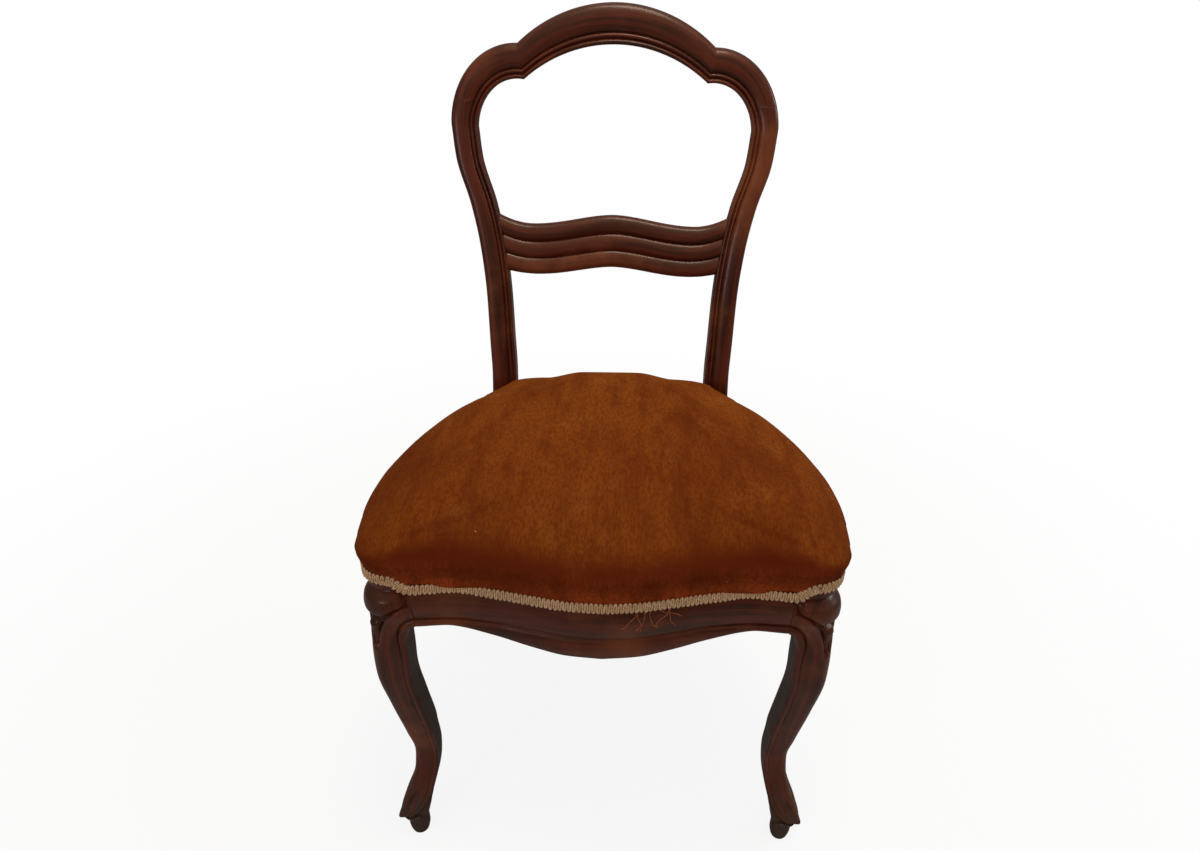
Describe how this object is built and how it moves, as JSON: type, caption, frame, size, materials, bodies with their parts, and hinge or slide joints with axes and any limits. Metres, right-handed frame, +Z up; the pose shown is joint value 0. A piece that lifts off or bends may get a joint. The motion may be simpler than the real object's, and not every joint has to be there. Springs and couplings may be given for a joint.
{
  "type": "balloon back chair",
  "caption": "side chair with a moulded balloon shaped back, reeded cross rail, serpentine front rail, cabriole front legs and a sprung velvet seat edged with braid",
  "frame": {"origin": "on the floor, at the middle of the chair's box in plan", "axes": "+X to the chair's right as it is seen from the front, +Y from the front of the seat to the back, +Z up from the feet to the crest rail"},
  "size_m": [0.52, 0.562, 0.907],
  "materials": {
    "show_wood": "dark red brown polished wood, slightly worn",
    "frame_wood": "plain sawn hardwood",
    "dowel_wood": "plain pale hardwood",
    "screw_steel": "dull steel",
    "spring_steel": "drawn wire",
    "tack_iron": "blued cut tacks",
    "webbing": "woven jute strap",
    "twine": "laid jute twine",
    "canvas": "coarse jute canvas",
    "fibre_stuffing": "packed curled fibre",
    "cotton_wadding": "felted cotton",
    "velvet": "short cut pile, rust brown",
    "gimp": "looped tan braid",
    "dust_cloth": "thin black cloth"
  },
  "bodies": {
    "root": {"crest_rail": "show_wood", "left_stile": "show_wood", "right_stile": "show_wood", "cross_rail": "show_wood", "front_rail": "show_wood", "rear_rail": "frame_wood", "left_side_rail": "show_wood", "right_side_rail": "show_wood", "left_front_leg": "show_wood", "right_front_leg": "show_wood", "front_left_corner_block": "frame_wood", "front_right_corner_block": "frame_wood", "rear_left_corner_block": "frame_wood", "rear_right_corner_block": "frame_wood", "corner_block_screws": "screw_steel", "crest_dowels": "dowel_wood", "cross_rail_dowels": "dowel_wood", "front_rail_dowels": "dowel_wood", "side_rail_dowels": "dowel_wood", "rear_rail_dowels": "dowel_wood", "lengthwise_webbing": "webbing", "crosswise_webbing": "webbing", "webbing_tacks": "tack_iron", "coil_springs": "spring_steel", "spring_twine": "twine", "spring_canvas": "canvas", "first_stuffing": "fibre_stuffing", "second_stuffing": "cotton_wadding", "velvet_cover": "velvet", "cover_tacks": "tack_iron", "gimp_braid": "gimp", "dust_cover": "dust_cloth"}
  },
  "joints": []
}
